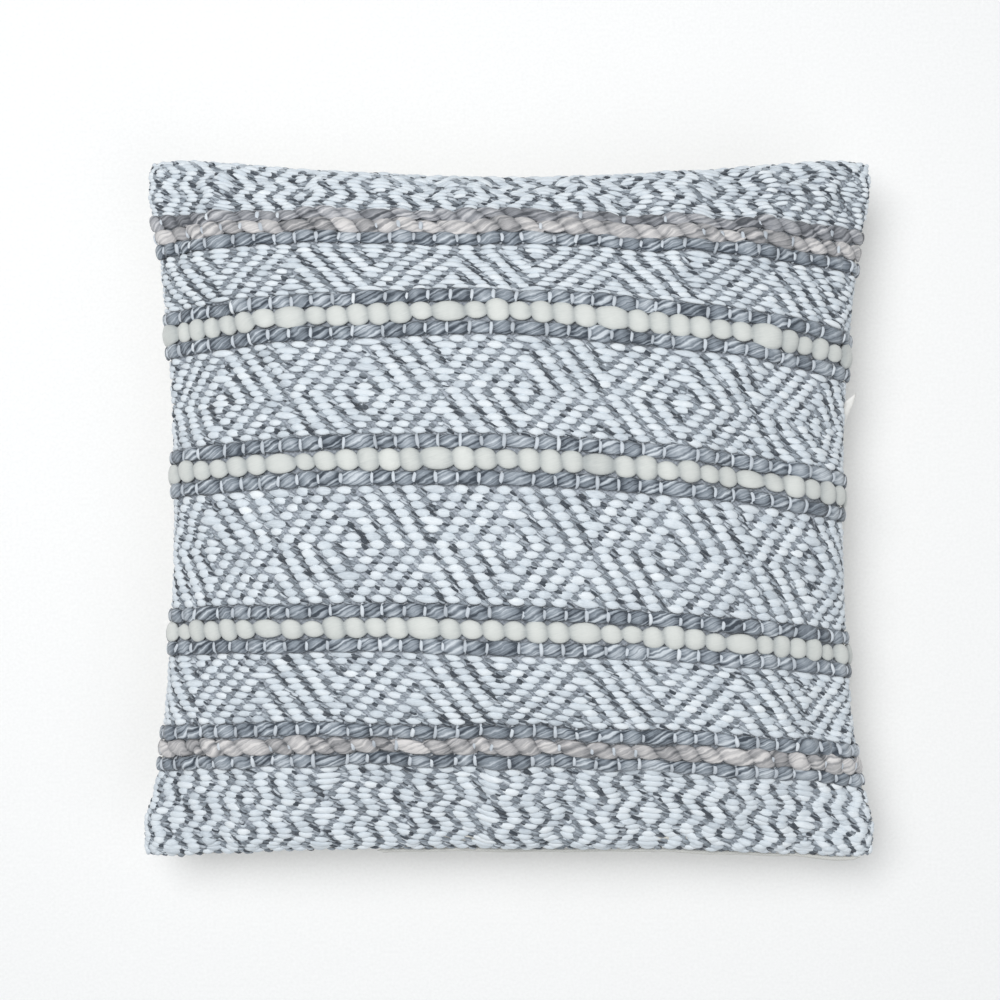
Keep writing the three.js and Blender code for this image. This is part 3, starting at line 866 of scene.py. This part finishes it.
def roving(name, top, foot, kind, rise, ties):
    """One thick roving across the cloth, tied down into beads, its strands twisted round it."""
    rng = seed_of(name)
    t = down((top + foot) / 2)
    width = foot - top
    stations = int(ARC_X[-1] / ROVING_STEP)
    arc = np.linspace(0, ARC_X[-1], stations)
    u = np.interp(arc, ARC_X, ARC_U) * SEAM_SHARE
    end = (arc - POINT_ARC - WARP_LEAN * CORNER_Y * t) / END_PITCH
    turn = np.arange(ROVING_SIDES) / ROVING_SIDES
    skewed = end[:, None] - kind["slope"] * np.cos(turn * 2 * np.pi)[None]
    open_share, bead = pinch_of(skewed, ties.astype(float))
    swell = rng.normal(0, kind["uneven"], len(ties) + 1)[bead]
    round_share = open_share**0.55
    strand = kind["strands"] * ((turn[None] - UNDERSIDE) % 1) + arc[:, None] / kind["twist"]
    ridge = kind["ridge"] * (np.abs(np.sin(np.pi * strand)) ** RIDGE_ROUNDNESS - CREASE_LEVEL)
    hollow = kind["hollow"]
    bulge = kind["bulge"] * (1 - hollow[0] + hollow[0] * round_share + swell * 0.7)
    wide = width / 2 * bulge + ridge
    high = rise * ROVING_BODY * (1 - hollow[1] + hollow[1] * round_share + swell) + ridge
    path, up = roving_line(rng, u, t, rise, end, ties)
    tones = rng.normal(kind["tone"], kind["spread"], len(ties) + 1)
    # edge is 1 at the roving's two sides, where it meets the rovings beside it. Each bead's random tone is
    # then darkened towards its ties, by the kind's shade, and at those sides, by the kind's edge: painted
    # shade in the pinches between beads and in the crevices between rovings.
    edge = np.abs(np.cos(turn * 2 * np.pi))[None] ** 5
    shade = tones[bead] - kind["shade"] * (1 - round_share) - kind["edge"] * edge
    shape = (stations, ROVING_SIDES)
    return yarn_piece(
        name, (path, up, wide[None], high[None]), shape, kind["finish"], kind["slot"], name,
        tone=np.clip(shade, 0, 1)[None],
        along=arc[None] * 0.5,
        around=strand[None] * 0.6,
        strand=strand[None] + 0.5,
    )


# Each yarn's twist (strands round it, the length in which it turns by one, how deep their ridges are),
# its beads (how they lean, bulge, narrow and sink at a tie, and vary), its tones, and its painted shade:
# "shade" darkens each bead towards its ties and "edge" darkens the roving's two sides, as painted shade.
GREY_KIND = {
    "finish": ROVING_GREY, "slot": "roving_grey", "strands": 9, "twist": 4.6 * MM, "ridge": 0.3 * MM,
    "slope": -0.25, "bulge": 1.0, "hollow": (0.3, 0.62), "uneven": 0.08,
    "tone": 0.56, "spread": 0.12, "shade": 0.75, "edge": 0.3,
}
IVORY_KIND = {
    "finish": ROVING_IVORY, "slot": "roving_ivory", "strands": 9, "twist": 14 * MM, "ridge": 0.1 * MM,
    "slope": -0.2, "bulge": 1.12, "hollow": (0.56, 0.7), "uneven": 0.14,
    "tone": 0.62, "spread": 0.07, "shade": 0.7, "edge": 0.15,
}
TAUPE_KIND = {
    "finish": ROVING_TAUPE, "slot": "roving_taupe", "strands": 8, "twist": 6 * MM, "ridge": 0.4 * MM,
    "slope": -0.9, "bulge": 1.1, "hollow": (0.4, 0.6), "uneven": 0.16,
    "tone": 0.7, "spread": 0.15, "shade": 0.45, "edge": 0.15,
}
MIXED_KIND = {**TAUPE_KIND, "finish": ROVING_MIXED, "tone": 0.5, "spread": 0.2, "bulge": 1.04}
KINDS = {"grey": GREY_KIND, "ivory": IVORY_KIND, "taupe": TAUPE_KIND, "mixed": MIXED_KIND}
TIES_SEEN = {"grey": 1.0, "mixed": 0.25, "taupe": 0.55, "ivory": 0.0}  # the share of ties in plain sight


def kinds_of(index):
    """The yarns of a stripe's upper, middle and lower rovings."""
    return ("mixed" if index == 0 else "grey"), STRIPE_CORES[index], "grey"


def stripe(index):
    bounds = stripe_bounds(index)
    name = f"stripe_{index + 1}_roving"
    for where, word, kind in zip(range(3), ("upper", "middle", "lower"), kinds_of(index)):
        shaft, rise = (CORE_TIE, CORES[kind][1]) if where == 1 else (OUTER_TIE, OUTER_RISE)
        roving(f"{name}_{word}", bounds[where], bounds[where + 1], KINDS[kind], rise, tied_ends(shaft))
    warp_ties(f"stripe_{index + 1}_warp_ties", index)


TIE_SIDES, TIE_STATIONS = 6, 9
TIE_WIDTH, TIE_HEIGHT = 1.25 * MM, 0.6 * MM
TIE_SINK, TIE_ARCH = 0.4, 3.15  # millimetres that its ends lie under the surface, and its arch's height
TIE_LEAST = 0.004  # how near the side seams a tie may lie, as a share of half the width


def tie_row(rng, shaft, top, foot, share):
    """One roving's visible ties: their paths, upward directions, half sizes and tones."""
    ends = tied_ends(shaft)
    t_mid = down((top + foot) / 2)
    ends = ends[within_cloth(ends, ends, t_mid, TIE_LEAST)]
    ends = ends[rng.random(len(ends)) < share]
    count = len(ends)
    s = np.linspace(-1, 1, TIE_STATIONS)[None]
    reach = (foot - top) / CLOTH_HEIGHT * rng.uniform(0.84, 1.0, (count, 1))
    t_line = t_mid - reach * s
    curl = rng.normal(0.12, 0.1, (count, 1)) * (1 - s * s) + rng.normal(0.05, 0.12, (count, 1)) * s
    lift = (-TIE_SINK + TIE_ARCH * (1 - np.abs(s) ** 3)) * MM
    path, up = face.at(end_at(ends[:, None] + curl, t_line), t_line, lift)
    body = rng.uniform(0.8, 1.15, (count, 1)) * (0.72 + 0.28 * (1 - s * s))
    tones = np.clip(rng.normal(0.35, 0.2, count), 0, 1)
    return path, up, TIE_WIDTH * body, TIE_HEIGHT * body, tones


def warp_ties(name, index):
    """The white warp ends that cross and hold down a stripe's rovings."""
    rng = seed_of(name)
    bounds = stripe_bounds(index)
    shafts = (OUTER_TIE, CORE_TIE, OUTER_TIE)
    seen = [TIES_SEEN[kind] for kind in kinds_of(index)]
    rows = [tie_row(rng, *row) for row in zip(shafts, bounds[:-1], bounds[1:], seen)]
    path, up, wide, high, tones = (np.concatenate(values) for values in zip(*rows))
    shape = (TIE_STATIONS, TIE_SIDES)
    count = len(path)
    s = np.linspace(-1, 1, TIE_STATIONS)[None]
    return yarn_piece(
        name, (path, up, wide, high), shape, TIE_YARN, "handwoven_face",
        tone=tones,
        along=s * 4 * MM + np.arange(count)[:, None] * 0.1,
        around=ring_turns(count, *shape),
    )


# ---- the turned edge that shows along the foot ----

EDGE_START, EDGE_STOP = -0.36, 0.965
EDGE_RADIUS = 1.3 * MM
EDGE_PLACE = np.array([0, -1.3 * MM, 0.9 * MM])  # from the seam
EDGE_STATIONS, EDGE_SIDES = 240, 10
EDGE_TAPER = 0.02  # how soon it is full at each end, as a share of half the width


def turned_edge():
    """The smooth fold of the face cloth's hem, just outside the yarns along the foot's seam."""
    u = np.linspace(EDGE_START, EDGE_STOP, EDGE_STATIONS)[None]
    arc = np.interp(u[0], ARC_U, ARC_X)
    t = np.full_like(u, -1.0)
    path, _ = face.at(u, t)
    wave = 0.35 * MM * np.sin(arc * 70) + 0.25 * MM * np.sin(arc * 163)
    path = path + EDGE_PLACE + np.stack([0 * wave, wave, 0.3 * wave], -1)[None]
    up = np.broadcast_to([0.0, 0.0, 1.0], path.shape)
    taper = smooth(np.minimum(u - EDGE_START, EDGE_STOP - u) / EDGE_TAPER)
    radius = EDGE_RADIUS * (0.15 + 0.85 * taper) * (1 + 0.15 * np.sin(arc * 95))[None]
    shape = (EDGE_STATIONS, EDGE_SIDES)
    return yarn_piece(
        "turned_edge", (path, up, radius, radius), shape, EDGE_CLOTH, "handwoven_face",
        cloth_x=arc[None],
        cloth_y=ring_turns(1, *shape) * 2 * np.pi * EDGE_RADIUS,
    )


# ---- the label ----

LABEL_OUT, LABEL_IN = 6 * MM, 6 * MM
LABEL_THICK, LABEL_GAP = 0.35 * MM, 0.35 * MM  # its cloth's thickness, and half the gap in its fold
LABEL_FOLD, LABEL_OPEN = 0.8 * MM, 1.5 * MM  # the fold's roundness, and how soon its two halves part
LABEL_DROOP = 3.5 * MM
LABEL_COLUMNS, LABEL_ROWS = 24, 14
LABEL_TUCK = 2.5 * MM  # how far inside its CAD place the drawn-in seam holds it
LABEL_LEAN = 6 * MM  # how far its free end leans towards the cushion's top


def care_label():
    """A blank satin label folded double, its foot bent in under the cushion's side."""
    low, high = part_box("care_label")
    length = LABEL_OUT + LABEL_IN
    fold = np.linspace(-length, length, LABEL_COLUMNS + 1)
    rise = np.linspace(0, 1, LABEL_ROWS + 1)
    s, w = np.meshgrid(fold, rise, indexing="ij")
    seam = low.x - LABEL_TUCK
    out = length - np.sqrt(s * s + LABEL_FOLD**2) - LABEL_IN
    free = np.clip(out / LABEL_OUT, 0, 1)
    stands = smooth((w - 0.45) / 0.5)
    x = seam + np.where(out > 0, out * (0.95 * stands + 0.35 * w), out)
    y = low.y + (high.y - low.y) * w + LABEL_LEAN * stands * free
    droop = -LABEL_DROOP * (1 - stands) * free
    z = (low.z + high.z) / 2 + droop + np.sign(s) * LABEL_GAP * smooth(np.abs(s) / LABEL_OPEN)
    points = np.stack([x, y, z], -1)
    piece = mesh_object("folded_label", points, [grid_faces(LABEL_COLUMNS + 1, LABEL_ROWS + 1)])
    solid = piece.modifiers.new("thickness", "SOLIDIFY")
    solid.thickness = LABEL_THICK
    solid.offset = 0
    dress(piece, satin_finish(), "label_satin", "care_label")


# ---- the zip ----

COIL_PITCH = 1.5 * MM
COIL_WIRE = 0.36 * MM
COIL_TURN_STEPS, COIL_SIDES = 10, 6
COIL_REACH, COIL_THICK = 1.25 * MM, 0.8 * MM  # half of each turn's width and thickness
COIL_OFFSET = 0.35 * MM


def zip_coil(side):
    """One of the two spiral chains, its turns leaning into those of the other."""
    node = f"zip_coil_{WORDS[side]}"
    low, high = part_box(node)
    turns = int((high.x - low.x) / COIL_PITCH)
    steps = turns * COIL_TURN_STEPS
    angle = np.linspace(0, turns * 2 * np.pi, steps)
    middle = [(low[k] + high[k]) / 2 for k in range(3)]
    x = low.x + (high.x - low.x) * angle / angle[-1] + (0 if side == FRONT else COIL_PITCH / 2)
    y = middle[1] + COIL_THICK * np.sin(angle)
    z = middle[2] - side * COIL_OFFSET + COIL_REACH * np.cos(angle)
    path = np.stack([x, y, z], -1)[None]
    up = np.broadcast_to([1.0, 0.0, 0.0], path.shape)
    wire = np.full((1, steps), COIL_WIRE)
    points, faces = sweep(path, up, wire, wire, COIL_SIDES)
    return dress(mesh_object(f"spiral_{node}", points, faces), COIL, "zip_coil", node)


COIL = coil_finish()
TAPE = tape_finish()
METAL = metal_finish()


def refinish(node, material, bevel=0.0):
    """Gives a CAD node a finished material, and rounds its edges where they would catch the light."""
    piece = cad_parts[node]
    piece.data.materials.clear()
    piece.data.materials.append(material)
    if bevel:
        rounding = piece.modifiers.new("rounded_edges", "BEVEL")
        rounding.width = bevel
        rounding.segments = 2
        rounding.limit_method = "ANGLE"


def zip_parts():
    for side, word in WORDS.items():
        zip_coil(side)
        refinish(f"zip_tape_{word}", TAPE)
        refinish(f"zip_top_stop_{word}", METAL, 0.2 * MM)
    for part, bevel in (("bottom_stop", 0.2), ("slider", 0.25), ("puller", 0.15)):
        refinish(f"zip_{part}", METAL, bevel * MM)


# ---- the insert, inside the cover ----

INSERT_DEPTH, INSERT_THICK = 8 * MM, 1 * MM
FILL_DEPTH = 9.6 * MM
INSERT_CELLS, FILL_CELLS = 90, 110
COVER_STITCH_DEPTH, INSERT_STITCH_DEPTH = 4 * MM, 10.1 * MM
STITCH_PITCH, STITCH_LENGTH, STITCH_WIDTH = 3.2 * MM, 2.6 * MM, 0.3 * MM
STITCH_BODY = np.array([0.5, 0.9, 1, 0.9, 0.5])  # a stitch's width from hole to hole
STITCH_SIDES, SEAM_STEPS = 6, 400
LUMP_WAVES, LUMP_FINENESS = 9, 55
FILL_SIZE_MIDDLE, FILL_SIZE_SPREAD = 0.985, 0.012  # the fill's size, as a share of its cotton's


def insert_cushion():
    """The inner cushion: two cotton shells and the fibre fill that they hold."""
    for side, word in WORDS.items():
        skin = Cover(side, None, INSERT_DEPTH)
        shell = slab(f"insert_cotton_{word}", skin, 0, INSERT_THICK, INSERT_CELLS, side)
        dress(shell, SHELL_COTTON, "insert_cotton", f"insert_shell_{word}")
    dress(fibre_fill("fibre_fill"), FIBRE, "fill_fibre", "insert_fill")


def fibre_fill(name):
    """Loose polyester fibre, in soft lumps that stay inside the insert's cotton."""
    points, faces, *_ = closed_skin(*lattice(FILL_CELLS), FILL_DEPTH)
    rng = seed_of(name)
    waves = rng.normal(0, 1, (LUMP_WAVES, 3)) * LUMP_FINENESS
    phases = rng.uniform(0, 2 * np.pi, LUMP_WAVES)
    lumps = np.sin(points @ waves.T + phases).mean(1)
    points = swollen(points, (FILL_SIZE_MIDDLE + FILL_SIZE_SPREAD * lumps)[:, None])
    # The tone follows the lumps: lighter where the fill bulges out and darker in the hollows between
    # lumps, as painted shade.
    tone = np.clip(0.55 + 0.3 * lumps, 0, 1)
    return mesh_object(name, points, faces, tone=tone, along=points[:, 0], around=points[:, 1] * 200)


def seam_run(depth, open_foot):
    """Points round a seam at a depth inside it, leaving out the zip's length where open_foot is true."""
    share = np.linspace(-1, 1, SEAM_STEPS)
    one = np.ones(SEAM_STEPS)
    foot = place(share, -one, FRONT, depth)
    sides = [place(u, t, FRONT, depth) for u, t in ((one, share), (-share, one), (-one, -share))]
    run = np.concatenate([foot[share > ZIP_SHUT] if open_foot else foot, *sides])
    if open_foot:
        run = np.concatenate([run, foot[share < -ZIP_SHUT]])
    run[:, 2] = SEAM_Z
    return run


def lock_stitches(name, node, depth, open_foot):
    """A row of lock stitches along a seam."""
    run = seam_run(depth, open_foot)
    lengths = lengths_along(run)
    starts = np.arange(0, lengths[-1] - STITCH_PITCH, STITCH_PITCH)[:, None]
    s = np.linspace(0, 1, len(STITCH_BODY))[None]
    where = starts + STITCH_LENGTH * s
    path = np.stack([np.interp(where, lengths, run[:, k]) for k in range(3)], -1)
    path[..., 2] += STITCH_WIDTH * 0.3 * np.sin(np.pi * s)
    up = np.broadcast_to([0.0, 0.0, 1.0], path.shape)
    thick = np.broadcast_to(STITCH_WIDTH / 2 * STITCH_BODY, where.shape)
    shape = (len(STITCH_BODY), STITCH_SIDES)
    return yarn_piece(
        name, (path, up, thick, thick), shape, THREAD, "sewing_thread", node,
        tone=np.full(len(starts), 0.5),
        along=where,
        around=ring_turns(len(starts), *shape),
    )


# ---- the studio ----

CAMERA_HEIGHT = 1.0  # metres above the seam
CAMERA_PLACE = (-5.8 * MM, 6.1 * MM)
CAMERA_LENS = 58.94
KEY_PLACE, KEY_SIZE, KEY_POWER = (-0.4, 0.4, 1.9), 1.0, 26
FILL_PLACE, FILL_SIZE, FILL_POWER = (0.8, -0.7, 1.6), 1.6, 6
SKY, SKY_COLOUR = 0.34, (0.94, 0.98, 1.0, 1)
FLOOR_HALF = 60.0  # metres, so that the floor meets the sky far away


def area_light(name, where, size, power):
    lamp = bpy.data.lights.new(name, "AREA")
    lamp.size = size
    lamp.energy = power
    made = linked(name, lamp)
    made.location = where
    aim = Vector((0, 0, SEAM_Z)) - Vector(where)
    made.rotation_euler = aim.to_track_quat("-Z", "Y").to_euler()


def camera_above():
    lens = bpy.data.cameras.new("camera")
    lens.lens = CAMERA_LENS
    camera = linked("camera", lens)
    camera.location = (*CAMERA_PLACE, SEAM_Z + CAMERA_HEIGHT)
    bpy.context.scene.camera = camera


def sky():
    world = bpy.data.worlds.new("studio")
    world.use_nodes = True
    preset(world.node_tree.nodes["Background"], Color=SKY_COLOUR, Strength=SKY)
    bpy.context.scene.world = world


def paper_floor():
    half = FLOOR_HALF
    corners = [(-half, -half, 0), (half, -half, 0), (half, half, 0), (-half, half, 0)]
    floor = mesh_object("floor", corners, [np.array([[0, 1, 2, 3]])])
    paper = Finish("floor_paper", 0.95)
    grain = paper.grain(500.0, 2.0)
    paper.colour(paper.ramp(grain, (0.3, (247, 247, 247)), (0.7, (252, 252, 252))))
    floor.data.materials.append(paper.material)


def studio():
    camera_above()
    area_light("key", KEY_PLACE, KEY_SIZE, KEY_POWER)
    area_light("fill", FILL_PLACE, FILL_SIZE, FILL_POWER)
    sky()
    bpy.context.scene.view_settings.view_transform = "Standard"
    paper_floor()


def build():
    cover_panels()
    woven_bands()
    for index in range(len(STRIPE_MIDDLES)):
        stripe(index)
    turned_edge()
    care_label()
    zip_parts()
    insert_cushion()
    lock_stitches("cover_seam_stitches", "cover_seam_thread", COVER_STITCH_DEPTH, True)
    lock_stitches("insert_seam_stitches", "insert_seam_thread", INSERT_STITCH_DEPTH, False)
    studio()


build()
